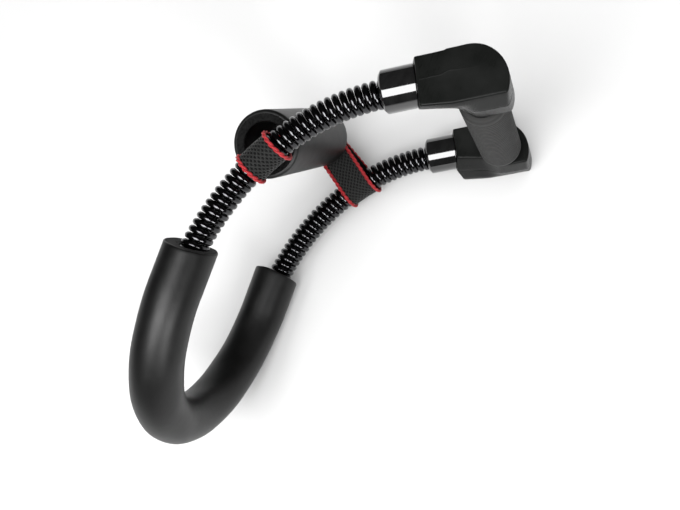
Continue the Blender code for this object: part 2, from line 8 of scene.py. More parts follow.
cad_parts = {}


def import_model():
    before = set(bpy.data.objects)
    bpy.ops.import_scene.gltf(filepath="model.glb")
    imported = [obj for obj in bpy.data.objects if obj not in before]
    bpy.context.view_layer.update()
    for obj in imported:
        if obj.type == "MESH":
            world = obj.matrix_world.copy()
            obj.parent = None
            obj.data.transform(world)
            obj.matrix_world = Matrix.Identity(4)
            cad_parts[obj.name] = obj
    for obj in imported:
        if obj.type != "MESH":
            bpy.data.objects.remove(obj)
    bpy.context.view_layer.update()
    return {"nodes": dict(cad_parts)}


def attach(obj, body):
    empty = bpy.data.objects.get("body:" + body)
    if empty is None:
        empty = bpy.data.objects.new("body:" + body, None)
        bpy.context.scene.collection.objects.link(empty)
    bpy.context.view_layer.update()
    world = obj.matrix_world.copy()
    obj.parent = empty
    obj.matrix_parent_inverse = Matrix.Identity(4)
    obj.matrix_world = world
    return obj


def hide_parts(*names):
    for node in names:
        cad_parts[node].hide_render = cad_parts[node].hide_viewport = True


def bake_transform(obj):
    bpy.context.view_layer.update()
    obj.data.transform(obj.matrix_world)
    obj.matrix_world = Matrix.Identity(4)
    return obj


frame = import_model()

SHIFT = np.array((-0.016516, 0.073002, 0.102500))
MM = 0.001

HALF_SPAN, LEG, U_DEPTH = 84.0, 29.0, 96.0
FOAM_R, FOAM_LEAN = 18.5, radians(12.0)
SPRING_MEAN_R, WIRE_R, PITCH = 7.5, 2.35, 5.0
HIDDEN, EXPOSED, NECK_COILS = 35.0, 165.0, 11.6
BEND, BEND_SLOPE = radians(61.6), -0.30
SHARES = (-35.0, 5.0, 39.0, 84.0, 123.0, 144.0, 165.0)
STRAP_W, STRAP_T, STRAP_RAD, STRAP_GAP = 25.0, 1.1, 10.6, 0.95
LOOP_S, STRAP_N, STRAP_BEND = (76.0, 103.0), (10.9, 42.0), 67.5
PAD_HALF, PAD_R, PAD_BORE, PAD_N = 62.0, 23.9, 15.7, (15.9, 47.0)
NECK_R, NECK_LIFT, NECK_LEN = 14.3, 1.0, 21.5
HUB_A, HUB_B, HUB_R = 56.0, -10.2, 25.2
BODY_A0, BASE_SLANT, BODY_TOP, SHOULDER = 21.8, 0.20, HUB_B + HUB_R, 1.0
NECK_LOW, NECK_RISE, KNEE_A, KNEE_DROP, FOOT_A = -19.2, 0.30, 45.0, 4.0, 57.0
FACE_W, PART_W, INNER_W = 102.5, 84.0, 66.0
LOW_EDGE, LOW_SLOPE, INNER_RISE = -21.7, 0.146, 0.10
FACET_B, FACET_DROP = -2.2, 3.5
AXLE_A, AXLE_B = 60.0, -9.0
TUBE_R, GRIP_R, GRIP_HALF, COLLAR_R, GAP = 10.0, 16.0, 60.0, 12.6, 0.3
LEFT, RIGHT = 1, -1

# ---- the bent centreline ----------------------------------------------------
TAB_S = np.arange(-HIDDEN, EXPOSED + 40.0, 0.1)


def bend_np(s):
    u = np.clip((np.asarray(s, float) + HIDDEN) / (HIDDEN + EXPOSED), 0.0, 1.0)
    return BEND * ((1.0 + BEND_SLOPE) * u - BEND_SLOPE * u * u)


_mid = bend_np(TAB_S[:-1] + 0.05)
TAB_X = -HIDDEN + np.concatenate([[0.0], np.cumsum(np.cos(_mid) * 0.1)])
TAB_Y = -np.concatenate([[0.0], np.cumsum(np.sin(_mid) * 0.1)])


def at(s, n, w):
    """Points (mm) from distance along, outside offset and width; arrays or numbers."""
    s, n, w = np.broadcast_arrays(np.asarray(s, float), np.asarray(n, float),
                                  np.asarray(w, float))
    x = np.where(s < -HIDDEN, s, np.interp(s, TAB_S, TAB_X))
    y = np.interp(s, TAB_S, TAB_Y)
    t = bend_np(s)
    return np.stack([x + n * np.sin(t), y + n * np.cos(t), w], axis=-1)


END = at(EXPOSED, 0.0, 0.0)
END_T = float(bend_np(EXPOSED))
FIT_A = np.array((cos(END_T), -sin(END_T), 0.0))
FIT_B = np.array((sin(END_T), cos(END_T), 0.0))


def fit(a, b, w):
    """Points (mm) in an end fitting's own directions."""
    a, b, w = np.broadcast_arrays(np.asarray(a, float), np.asarray(b, float),
                                  np.asarray(w, float))
    return (np.array((END[0], END[1], 0.0)) + a[..., None] * FIT_A + b[..., None] * FIT_B
            + w[..., None] * np.array((0.0, 0.0, 1.0)))


def world(p):
    return np.asarray(p, float) * MM + SHIFT


# ---- mesh building ----------------------------------------------------------
class Shape:
    """Collects grids of points into one mesh."""

    def __init__(self):
        self.v, self.f, self.uv, self.m, self.count = [], [], [], [], 0

    def grid(self, pts, close_m=False, close_n=False, uv=None, mat=0, cap=False):
        """pts is m by n by 3, in millimetres. uv has one more row and column where closed."""
        m, n = pts.shape[:2]
        i = np.arange(m if close_m else m - 1)
        j = np.arange(n if close_n else n - 1)
        gi, gj = (x.ravel() for x in np.meshgrid(i, j, indexing="ij"))
        i2, j2 = (gi + 1) % m, (gj + 1) % n
        quads = np.stack([gi * n + gj, gi * n + j2, i2 * n + j2, i2 * n + gj], 1) + self.count
        if uv is None:
            uv = np.zeros((m + int(close_m), n + int(close_n), 2))
        corner = np.stack([uv[gi, gj], uv[gi, gj + 1], uv[gi + 1, gj + 1], uv[gi + 1, gj]], 1)
        self.v.append(pts.reshape(-1, 3))
        self.f += quads.tolist()
        self.uv.append(corner.reshape(-1, 2))
        self.m += list(mat[gi, gj]) if isinstance(mat, np.ndarray) else [mat] * len(quads)
        if cap:
            for row in (0, m - 1):
                ring = [self.count + row * n + k for k in range(n)]
                self.f.append(ring)
                self.uv.append(np.tile(uv[row, 0], (n, 1)))
                self.m.append(0 if isinstance(mat, np.ndarray) else mat)
        self.count += m * n
        return self

    def polygon(self, indices, mat=0):
        self.f.append([int(k) for k in indices])
        self.uv.append(np.zeros((len(indices), 2)))
        self.m.append(mat)
        return self

    def build(self, name, materials, angle=35.0, closed=True):
        mesh = bpy.data.meshes.new(name)
        mesh.from_pydata(world(np.concatenate(self.v)).tolist(), [], self.f)
        layer = mesh.uv_layers.new(name="along")
        layer.data.foreach_set("uv", np.concatenate(self.uv).astype(np.float32).ravel())
        mesh.polygons.foreach_set("material_index", np.array(self.m, np.int32))
        if closed:
            bm = bmesh.new()
            bm.from_mesh(mesh)
            bmesh.ops.recalc_face_normals(bm, faces=bm.faces)
            bm.to_mesh(mesh)
            bm.free()
        mesh.shade_smooth()
        mesh.set_sharp_from_angle(angle=radians(angle))
        for mat in materials:
            mesh.materials.append(mat)
        obj = bpy.data.objects.new(name, mesh)
        bpy.context.scene.collection.objects.link(obj)
        return obj


def unit(v):
    return v / np.maximum(np.linalg.norm(v, axis=-1, keepdims=True), 1e-12)


def tube(path, out, radius, sides, flat=1.0, closed=False):
    """Points of a round tube along a path, given an outward direction at each point."""
    if closed:
        tangent = unit(np.roll(path, -1, 0) - np.roll(path, 1, 0))
    else:
        tangent = unit(np.gradient(path, axis=0))
    side = unit(np.cross(tangent, out))
    out = unit(np.cross(side, tangent))
    t = 2 * pi * np.arange(sides) / sides
    return (path[:, None, :] + radius * flat * np.cos(t)[None, :, None] * out[:, None, :]
            + radius * np.sin(t)[None, :, None] * side[:, None, :])


def tube_uv(path, sides, closed, radius):
    """u along the tube and v round it, both in millimetres."""
    steps = np.linalg.norm(np.diff(path, axis=0), axis=1)
    if closed:
        steps = np.append(steps, np.linalg.norm(path[0] - path[-1]))
    u = np.concatenate([[0.0], np.cumsum(steps)])
    v = np.arange(sides + 1) / sides * 2 * pi * radius
    return np.stack(np.broadcast_arrays(u[:, None], v[None, :]), -1)


def rounded(corners, radius, steps=4):
    """A polyline's corners rounded off. corners: 2-D points; radius: number or list."""
    out = [corners[0]]
    for k in range(1, len(corners) - 1):
        p, q, r = (np.array(c, float) for c in corners[k - 1:k + 2])
        rad = radius[k] if isinstance(radius, (list, tuple)) else radius
        d0, d1 = np.linalg.norm(p - q), np.linalg.norm(r - q)
        if rad <= 0 or d0 < 1e-6 or d1 < 1e-6:
            out.append(tuple(q))
            continue
        c = min(rad, 0.45 * d0, 0.45 * d1)
        a, b = q + (p - q) / d0 * c, q + (r - q) / d1 * c
        for i in range(steps + 1):
            t = i / steps
            out.append(tuple((1 - t) ** 2 * a + 2 * t * (1 - t) * q + t * t * b))
    out.append(corners[-1])
    return out


def lathe(place, profile, count, closed=True):
    """Grid of rings. profile: (radius, position) pairs; place(radius, angle, position)."""
    r = np.array([p[0] for p in profile])[:, None]
    x = np.array([p[1] for p in profile])[:, None]
    t = (2 * pi * np.arange(count) / count)[None, :]
    return place(r, t, x)


# ---- materials --------------------------------------------------------------
class Paint:
    """A Principled material with short helpers for its texture nodes."""

    def __init__(self, name, colour, rough, metal=0.0, **sockets):
        self.mat = bpy.data.materials.new(name)
        self.mat.use_nodes = True
        self.tree = self.mat.node_tree
        self.bsdf = self.tree.nodes["Principled BSDF"]
        self.bsdf.inputs["Base Color"].default_value = (*colour, 1.0)
        self.bsdf.inputs["Roughness"].default_value = rough
        self.bsdf.inputs["Metallic"].default_value = metal
        for key, value in sockets.items():
            self.bsdf.inputs[key.replace("_", " ")].default_value = value
        self.normal = None

    def node(self, kind, **props):
        n = self.tree.nodes.new(kind)
        for k, v in props.items():
            setattr(n, k, v)
        return n

    def link(self, a, b):
        self.tree.links.new(a, b)

    def coords(self, kind="Object", scale=(1.0, 1.0, 1.0), uv=None):
        if uv:
            src = self.node("ShaderNodeUVMap", uv_map=uv).outputs["UV"]
        else:
            src = self.node("ShaderNodeTexCoord").outputs[kind]
        m = self.node("ShaderNodeMapping")
        m.inputs["Scale"].default_value = scale
        self.link(src, m.inputs["Vector"])
        return m.outputs["Vector"]

    def noise(self, vector, scale, detail=3.0, rough=0.55, distortion=0.0):
        n = self.node("ShaderNodeTexNoise")
        n.inputs["Scale"].default_value = scale
        n.inputs["Detail"].default_value = detail
        n.inputs["Roughness"].default_value = rough
        n.inputs["Distortion"].default_value = distortion
        self.link(vector, n.inputs["Vector"])
        return n.outputs["Fac"]

    def cells(self, vector, scale, feature="F1", randomness=1.0):
        n = self.node("ShaderNodeTexVoronoi", feature=feature)
        n.inputs["Scale"].default_value = scale
        n.inputs["Randomness"].default_value = randomness
        self.link(vector, n.inputs["Vector"])
        return n.outputs["Distance"]

    def wave(self, vector, scale, distortion=0.0, direction="X"):
        n = self.node("ShaderNodeTexWave", bands_direction=direction)
        n.inputs["Scale"].default_value = scale
        n.inputs["Distortion"].default_value = distortion
        n.inputs["Detail"].default_value = 1.0
        self.link(vector, n.inputs["Vector"])
        return n.outputs["Fac"]

    def range(self, value, lo, hi, out_lo=0.0, out_hi=1.0):
        n = self.node("ShaderNodeMapRange", clamp=True)
        for key, v in (("From Min", lo), ("From Max", hi), ("To Min", out_lo),
                       ("To Max", out_hi)):
            n.inputs[key].default_value = v
        self.link(value, n.inputs["Value"])
        return n.outputs["Result"]

    def math(self, op, a, b=None, c=None):
        n = self.node("ShaderNodeMath", operation=op)
        for k, x in enumerate((a, b, c)):
            if x is None:
                continue
            if isinstance(x, (int, float)):
                n.inputs[k].default_value = x
            else:
                self.link(x, n.inputs[k])
        return n.outputs[0]

    def mix(self, fac, a, b):
        n = self.node("ShaderNodeMix", data_type="RGBA")
        self.link(fac, n.inputs["Factor"])
        for sock, c in ((n.inputs["A"], a), (n.inputs["B"], b)):
            if isinstance(c, tuple):
                sock.default_value = (*c, 1.0)
            else:
                self.link(c, sock)
        return n.outputs["Result"]

    def colour(self, socket):
        self.link(socket, self.bsdf.inputs["Base Color"])
        return self

    def rough(self, socket):
        self.link(socket, self.bsdf.inputs["Roughness"])
        return self

    def bump(self, height, strength, distance_mm, coat=False):
        n = self.node("ShaderNodeBump")
        n.inputs["Strength"].default_value = strength
        n.inputs["Distance"].default_value = distance_mm * MM
        self.link(height, n.inputs["Height"])
        if self.normal is not None:
            self.link(self.normal, n.inputs["Normal"])
        self.normal = n.outputs["Normal"]
        self.link(self.normal, self.bsdf.inputs["Normal"])
        return self


def foam_skin():
    p = Paint("foam_skin", (0.0013, 0.0013, 0.0013), 0.43, Specular_IOR_Level=0.30)
    c = p.coords()
    mottle = p.noise(c, 90.0, 4.0, 0.6)
    fine = p.noise(c, 1500.0, 3.0, 0.6)
    p.colour(p.mix(p.range(mottle, 0.35, 0.65), (0.0009, 0.0009, 0.0009), (0.0018, 0.0018, 0.0018)))
    p.rough(p.range(p.math("ADD", mottle, fine), 0.8, 1.2, 0.41, 0.46))
    p.bump(mottle, 0.35, 0.35)
    p.bump(p.cells(c, 1100.0), 0.30, 0.09)
    p.bump(fine, 0.35, 0.06)
    return p.mat


def foam_cut(name, tone):
    # tone scales every colour and the specular level; the pad's 0.22 copy is painted shade
    p = Paint(name, (0.014 * tone, 0.014 * tone, 0.014 * tone), 0.85,
              Specular_IOR_Level=0.3 * tone)
    c = p.coords()
    pores = p.cells(c, 620.0)
    small = p.cells(c, 1500.0)
    saw = p.noise(p.coords(scale=(1.0, 0.25, 1.0)), 420.0, 4.0, 0.7)
    p.colour(p.mix(p.range(pores, 0.15, 0.6), (0.007 * tone, 0.007 * tone, 0.007 * tone),
                   (0.024 * tone, 0.024 * tone, 0.024 * tone)))
    p.bump(pores, 0.9, 0.40)
    p.bump(small, 0.7, 0.18)
    p.bump(saw, 0.5, 0.25)
    return p.mat


def spring_gloss():
    p = Paint("spring_black", (0.042, 0.042, 0.044), 0.12, metal=1.0, Coat_Weight=0.2,
              Coat_Roughness=0.06, Coat_IOR=1.6)
    uv = p.coords(uv="along", scale=(0.05, 1.0, 1.0))
    scratch = p.noise(uv, 2.2, 5.0, 0.7)
    cloud = p.noise(p.coords(uv="along", scale=(0.02, 0.1, 1.0)), 3.0, 2.0)
    p.colour(p.mix(p.range(cloud, 0.35, 0.7), (0.032, 0.032, 0.034), (0.052, 0.052, 0.055)))
    p.rough(p.range(scratch, 0.3, 0.7, 0.09, 0.19))
    p.bump(scratch, 0.12, 0.02)
    return p.mat


def gloss_plastic():
    p = Paint("neck_gloss", (0.004, 0.004, 0.004), 0.12, Specular_IOR_Level=0.1, Coat_Weight=1.0,
              Coat_Roughness=0.06, Coat_IOR=1.72)
    c = p.coords()
    peel = p.noise(c, 260.0, 2.0, 0.4)
    smear = p.noise(p.coords(scale=(1.0, 3.0, 1.0)), 70.0, 4.0, 0.6)
    p.colour(p.mix(p.range(smear, 0.35, 0.7), (0.003, 0.003, 0.003), (0.006, 0.006, 0.006)))
    p.rough(p.range(smear, 0.35, 0.7, 0.07, 0.16))
    p.bump(peel, 0.05, 0.05)
    return p.mat


def satin_plastic():
    p = Paint("shell_satin", (0.0045, 0.0048, 0.0045), 0.30, Specular_IOR_Level=0.08)
    c = p.coords()
    grain = p.noise(c, 2200.0, 2.0, 0.5)
    cell = p.cells(c, 1500.0)
    flow = p.noise(c, 45.0, 3.0, 0.55)
    rub = p.noise(p.coords(scale=(1.0, 6.0, 1.0)), 120.0, 5.0, 0.75)
    p.colour(p.mix(p.range(flow, 0.35, 0.65), (0.0035, 0.0038, 0.0035), (0.0058, 0.0061, 0.0058)))
    p.rough(p.range(p.math("ADD", flow, rub), 0.8, 1.2, 0.26, 0.38))
    p.bump(flow, 0.10, 0.15)
    p.bump(cell, 0.22, 0.035)
    p.bump(grain, 0.18, 0.02)
    return p.mat


def rubber_matte():
    p = Paint("grip_rubber", (0.012, 0.012, 0.012), 0.66, Specular_IOR_Level=0.35)
    c = p.coords()
    dust = p.noise(c, 160.0, 4.0, 0.65)
    fine = p.noise(c, 2600.0, 2.0)
    p.colour(p.mix(p.range(dust, 0.4, 0.7), (0.009, 0.009, 0.009), (0.017, 0.017, 0.016)))
    p.rough(p.range(dust, 0.35, 0.7, 0.62, 0.80))
    p.bump(fine, 0.35, 0.05)
    return p.mat


def steel():
    p = Paint("steel_plain", (0.50, 0.51, 0.53), 0.34, metal=1.0)
    c = p.coords(scale=(1.0, 1.0, 0.06))
    grain = p.noise(c, 2600.0, 3.0, 0.6)
    cloud = p.noise(p.coords(), 60.0, 3.0)
    p.colour(p.mix(p.range(cloud, 0.35, 0.7), (0.42, 0.43, 0.45), (0.58, 0.58, 0.60)))
    p.rough(p.range(grain, 0.3, 0.7, 0.26, 0.44))
    p.bump(grain, 0.2, 0.02)
    return p.mat


# near-black band under the webbing cords, with fabric warp and fuzz; its darkness is painted shade
# that makes the mesh holes read black
def web_shade_backing():
    p = Paint("web_ground_painted_shade", (0.003, 0.003, 0.003), 0.9, Specular_IOR_Level=0.1)
    uv = p.coords(uv="along")
    warp = p.wave(uv, 1.1, 0.6, "Y")
    fuzz = p.noise(uv, 4.0, 3.0, 0.6)
    p.colour(p.mix(p.range(warp, 0.2, 0.8), (0.002, 0.002, 0.002), (0.005, 0.005, 0.005)))
    p.bump(warp, 0.5, 0.2)
    p.bump(fuzz, 0.4, 0.1)
    return p.mat


def web_yarn():
    p = Paint("web_yarn", (0.007, 0.0074, 0.007), 0.60, Specular_IOR_Level=0.26,
              Sheen_Weight=0.10, Sheen_Roughness=0.4)
    uv = p.coords(uv="along")
    ply = p.wave(p.coords(uv="along", scale=(1.0, 1.3, 1.0)), 1.6, 0.4, "DIAGONAL")
    fibre = p.noise(p.coords(uv="along", scale=(0.5, 6.0, 1.0)), 3.0, 4.0, 0.7)
    tone = p.noise(uv, 0.35, 2.0)
    p.colour(p.mix(p.range(p.math("ADD", ply, tone), 0.5, 1.5), (0.004, 0.0042, 0.004),
                   (0.010, 0.0105, 0.010)))
    p.bump(ply, 0.5, 0.12)
    p.bump(fibre, 0.5, 0.06)
    return p.mat


def red_yarn():
    p = Paint("red_yarn", (0.25, 0.008, 0.012), 0.50, Specular_IOR_Level=0.35,
              Sheen_Weight=0.05, Sheen_Roughness=0.35)
    ply = p.wave(p.coords(uv="along", scale=(1.0, 1.6, 1.0)), 1.4, 0.6, "DIAGONAL")
    fibre = p.noise(p.coords(uv="along", scale=(0.4, 5.0, 1.0)), 3.0, 4.0, 0.7)
    tone = p.noise(p.coords(uv="along"), 0.25, 2.0)
    p.colour(p.mix(p.range(p.math("ADD", ply, tone), 0.5, 1.5), (0.13, 0.003, 0.005),
                   (0.36, 0.014, 0.019)))
    p.bump(ply, 0.6, 0.16)
    p.bump(fibre, 0.5, 0.07)
    return p.mat


FOAM, SPRING, GLOSS = foam_skin(), spring_gloss(), gloss_plastic()
# the pad's cut material is the cut foam darkened to 0.22: painted shade for the pad's end faces,
# which lie in the springs' shade
FOAM_CUT, PAD_CUT_PAINTED_SHADE = foam_cut("foam_cut", 1.0), foam_cut("pad_cut_painted_shade", 0.22)
SATIN, RUBBER, STEEL = satin_plastic(), rubber_matte(), steel()
WEB_SHADE_BACKING, WEB_YARN, RED_YARN = web_shade_backing(), web_yarn(), red_yarn()

# ---- springs ----------------------------------------------------------------
COIL_START, COIL_END = -HIDDEN + 1.5, EXPOSED + NECK_COILS
TURN_STEPS, WIRE_SIDES = 32, 14


def coil(side, s0, s1):
    """One stretch of spring wire, as points and their place along it."""
    per = 2 * pi / PITCH
    k0, k1 = round(s0 * per / (2 * pi) * TURN_STEPS), round(s1 * per / (2 * pi) * TURN_STEPS)
    phi = 2 * pi * np.arange(k0, k1 + 1) / TURN_STEPS
    w = side * HALF_SPAN

    def wire(p, r=SPRING_MEAN_R):
        return at(p / per, r * np.cos(p), w + r * np.sin(p))
    mid = wire(phi)
    tangent = unit(wire(phi + 0.01) - wire(phi - 0.01))
    out = unit(wire(phi, SPRING_MEAN_R + 1.0) - mid)
    across = unit(np.cross(tangent, out))
    out = unit(np.cross(across, tangent))
    t = 2 * pi * np.arange(WIRE_SIDES) / WIRE_SIDES
    pts = (mid[:, None, :] + WIRE_R * np.cos(t)[None, :, None] * out[:, None, :]
           + WIRE_R * np.sin(t)[None, :, None] * across[:, None, :])
    u = phi * SPRING_MEAN_R
    v = np.arange(WIRE_SIDES + 1) / WIRE_SIDES * 2 * pi * WIRE_R
    return pts, np.stack(np.broadcast_arrays(u[:, None], v[None, :]), -1)


for side, tag in ((LEFT, "left"), (RIGHT, "right")):
    for k in range(6):
        s0 = COIL_START if k == 0 else SHARES[k]
        s1 = COIL_END if k == 5 else SHARES[k + 1]
        pts, uv = coil(side, s0, s1)
        shape = Shape().grid(pts, close_n=True, uv=uv)
        if k in (0, 5):
            row = 0 if k == 0 else len(pts) - 1
            shape.polygon([row * WIRE_SIDES + j for j in range(WIRE_SIDES)])
        obj = shape.build("coil_%s_%d" % (tag, k + 1), [SPRING], 60.0)
        w = side * HALF_SPAN
        tuple(world(at(max(s0, -28.0), 0.0, w)))
        tuple(world(at(min(s1, EXPOSED), 0.0, w)))
        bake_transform(obj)
        nodes = ["spring_%s_%d" % (tag, k + 1)]
        if k == 5:
            nodes.append("spring_%s_7" % tag)
        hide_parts(*nodes)

# ---- foam sleeve on the U ---------------------------------------------------
AROUND = 72


def u_station(kind, value, side):
    """Place and direction on the U: a leg at x, or the curved part at an angle."""
    if kind == "leg":
        return (value, side * HALF_SPAN, -float(side), 0.0)
    x, w = -LEG - U_DEPTH * sin(value), HALF_SPAN * cos(value)
    tx, tw = -U_DEPTH * cos(value), -HALF_SPAN * sin(value)
    k = hypot(tx, tw)
    return (x, w, tx / k, tw / k)


def u_ring(station, radius, shift=0.0):
    x, w, tx, tw = station
    t = 2 * pi * np.arange(AROUND) / AROUND
    return np.stack([x - tw * radius * np.sin(t), shift + radius * np.cos(t),
                     w + tx * radius * np.sin(t)], -1)


def mouth(side):
    """Rings of one leg's end, from the outside wall over the cut face into the bore."""
    bore = SPRING_MEAN_R + WIRE_R + 0.45
    prof = [(-28.0, FOAM_R), (-22.0, FOAM_R), (-16.0, FOAM_R), (-10.0, FOAM_R),
            (-6.0, FOAM_R), (-3.0, FOAM_R)]
    edge = 1.0
    for i in range(5):
        t = i / 4 * pi / 2
        prof.append((-edge * (1 - sin(t)), FOAM_R - edge * (1 - cos(t))))
    cut_from = len(prof) - 1
    for r in (16.0, 14.5, 13.0, 11.8):
        prof.append((0.0, r))
    for i in range(4):
        t = i / 3 * pi / 2
        prof.append((-0.7 * (1 - cos(t)), bore + 0.7 * (1 - sin(t))))
    cut_to = len(prof) - 1
    prof += [(-4.0, bore), (-10.0, bore), (-17.0, bore), (-21.0, bore)]
    rings = []
    for x, r in prof:
        shift = float(np.interp(x, TAB_S, TAB_Y)) if r <= bore + 0.01 else 0.0
        ring = u_ring(u_station("leg", x, side), r, shift)
        fade = max(0.0, 1.0 + x / 16.0) ** 1.5 if x < 0 else 1.0
        ring[:, 0] -= (np.abs(ring[:, 2]) - HALF_SPAN) * tan(FOAM_LEAN) * fade
        # the cut is a little uneven
        if x > -2.0:
            ang = 2 * pi * np.arange(AROUND) / AROUND
            ring[:, 0] += 0.16 * np.sin(3 * ang + side + 0.3 * r) + 0.10 * np.sin(7 * ang + 2.0 * r)
        rings.append(ring)
    return rings, cut_from, cut_to


left_rings, cut_from, cut_to = mouth(LEFT)
right_rings, _, _ = mouth(RIGHT)
curve = [u_ring(u_station("curve", pi * i / 96, 0), FOAM_R) for i in range(1, 96)]
rod = [u_ring(u_station("curve", pi * i / 40, 0), 5.3) for i in range(5, 36)]
outer = list(reversed(left_rings)) + curve + right_rings
rings = outer + list(reversed(rod))
mats = np.zeros((len(rings), AROUND), int)
nl = len(left_rings)
mats[nl - 1 - cut_to:nl - 1 - cut_from, :] = 1
start = nl + len(curve)
mats[start + cut_from:start + cut_to, :] = 1
pts = np.array(rings)
# slow unevenness of a moulded foam tube, well under half a millimetre
mid = pts.mean(axis=1, keepdims=True)
phase = np.arange(len(rings))[:, None]
ang = (2 * pi * np.arange(AROUND) / AROUND)[None, :]
wobble = 0.12 * np.sin(phase * 0.21 + 2 * ang) + 0.09 * np.sin(phase * 0.47 - 3 * ang + 1.0)
wobble[:nl] *= 0.3
pts[:nl + len(curve) + nl] += (unit(pts - mid) * wobble[..., None])[:nl + len(curve) + nl]
foam = Shape().grid(pts, close_m=True, close_n=True, mat=mats).build(
    "foam_cradle", [FOAM, FOAM_CUT], 50.0)
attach(foam, "frame")
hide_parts("foam_sleeve")

# ---- webbing loop -----------------------------------------------------------


def tangent_point(c, r, p, upper):
    dx, dy = p[0] - c[0], p[1] - c[1]
    d = hypot(dx, dy)
    base, spread = atan2(dy, dx), acos(min(1.0, r / d))
    for sign in (1, -1):
        ang = base + sign * spread
        q = (c[0] + r * cos(ang), c[1] + r * sin(ang))
        if (q[1] > c[1]) == upper:
            return q, ang
    return q, ang


def strap_path(offset=0.0, spacing=0.5):
    """Closed outline of the loop in (w, n), evenly spaced and with soft corners."""
    r, g = STRAP_RAD + offset, STRAP_GAP + offset
    lc, rc = (HALF_SPAN, 0.0), (-HALF_SPAN, 0.0)
    slope = (STRAP_N[1] - STRAP_N[0]) / (2 * PAD_HALF)
    n0 = STRAP_N[0] - slope * (STRAP_BEND - PAD_HALF)
    n1 = STRAP_N[1] + slope * (STRAP_BEND - PAD_HALF)
    _, la = tangent_point(lc, r, (STRAP_BEND, n0 + g), True)
    _, lba = tangent_point(lc, r, (STRAP_BEND, n0 - g), False)
    _, ra = tangent_point(rc, r, (-STRAP_BEND, n1 + g), True)
    _, rba = tangent_point(rc, r, (-STRAP_BEND, n1 - g), False)
    if lba > la:
        lba -= 2 * pi
    ra, rba = ra % (2 * pi), rba % (2 * pi)
    pts = []
    for i in range(61):
        t = lba + (la - lba) * i / 60
        pts.append((lc[0] + r * cos(t), r * sin(t)))
    for f in (0.0, 0.5, 1.0):
        pts.append((STRAP_BEND * (1 - 2 * f), n0 + (n1 - n0) * f + g))
    for i in range(61):
        t = ra + (rba - ra) * i / 60
        pts.append((rc[0] + r * cos(t), r * sin(t)))
    for f in (1.0, 0.5, 0.0):
        pts.append((STRAP_BEND * (1 - 2 * f), n0 + (n1 - n0) * f - g))
    pts = np.array(pts)
    loop = np.vstack([pts, pts[:1]])
    d = np.concatenate([[0.0], np.cumsum(np.linalg.norm(np.diff(loop, axis=0), axis=1))])
    count = int(round(d[-1] / spacing))
    q = np.arange(count) * d[-1] / count
    even = np.stack([np.interp(q, d, loop[:, 0]), np.interp(q, d, loop[:, 1])], -1)
    kernel = np.array([1, 2, 3, 2, 1], float)
    kernel /= kernel.sum()
    return sum(k * np.roll(even, i - 2, axis=0) for i, k in enumerate(kernel))


PATH = strap_path()
LOOP_LENGTH = float(np.linalg.norm(np.roll(PATH, -1, 0) - PATH, axis=1).sum())
_t = np.roll(PATH, -1, 0) - np.roll(PATH, 1, 0)
_t /= np.linalg.norm(_t, axis=1, keepdims=True)
NORMAL = np.stack([_t[:, 1], -_t[:, 0]], -1)
if np.mean(np.sum(NORMAL * (PATH - PATH.mean(0)), 1)) < 0:
    NORMAL = -NORMAL


def loop_s(w):
    return LOOP_S[0] + (LOOP_S[1] - LOOP_S[0]) * (HALF_SPAN - w) / (2 * HALF_SPAN)


def strap_at(index, v, off):
    """Point on the webbing: index round the loop (may be fractional), v across, off out."""
    n = len(PATH)
    i0 = np.floor(index).astype(int) % n
    f = (index - np.floor(index))[..., None]
    p = PATH[i0] * (1 - f) + PATH[(i0 + 1) % n] * f
    q = NORMAL[i0] * (1 - f) + NORMAL[(i0 + 1) % n] * f
    p = p + q * np.asarray(off)[..., None]
    s = loop_s(p[..., 0])
    curvature = (bend_np(s + 1.0) - bend_np(s - 1.0)) / 2.0
    return at(s + v / (1.0 + p[..., 1] * curvature), p[..., 1], p[..., 0])


N_PATH = len(PATH)
idx = np.arange(0, N_PATH, 1.0)
# the band under the cords, drawn near-black: painted shade seen through the mesh holes
ring_v = [-12.2, -12.2, 0.0, 12.2, 12.2, 0.0]
ring_o = [-0.30, 0.02, 0.02, 0.02, -0.30, -0.30]
shade_backing_grid = np.stack([strap_at(idx, np.full(len(idx), v), np.full(len(idx), o))
                 for v, o in zip(ring_v, ring_o)], 1)
uu = np.arange(len(idx) + 1) * LOOP_LENGTH / len(idx)
vv = np.array([0, 0.3, 12.5, 24.7, 25.0, 37.2, 49.4])
uv = np.stack(np.broadcast_arrays(uu[:, None], vv[None, :]), -1)
web = Shape().grid(shade_backing_grid, close_m=True, close_n=True, uv=uv)
# the mesh: cords that meet their neighbours on either side in turn
CORDS, CELL = 14, 1.95
cells = int(round(LOOP_LENGTH / CELL / 2)) * 2
steps = cells * 8
pos = np.arange(steps) * N_PATH / steps
pitch = 21.6 / (CORDS - 1)
for c in range(CORDS):
    swing = np.cos(2 * pi * np.arange(steps) / steps * cells / 2 + pi * c)
    v = -10.8 + c * pitch + swing * (pitch * 0.5 - 0.38)
    off = 0.22 + 0.16 * np.abs(swing)
    path = strap_at(pos, v, off)
    out = unit(strap_at(pos, v, off + 0.5) - path)
    grid = tube(path, out, 0.50, 6, flat=0.75, closed=True)
    web.grid(grid, close_m=True, close_n=True, uv=tube_uv(path, 6, True, 0.50), mat=1)
web_obj = web.build("webbing_mesh", [WEB_SHADE_BACKING, WEB_YARN], 60.0)
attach(web_obj, "strap")
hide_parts("webbing_loop")

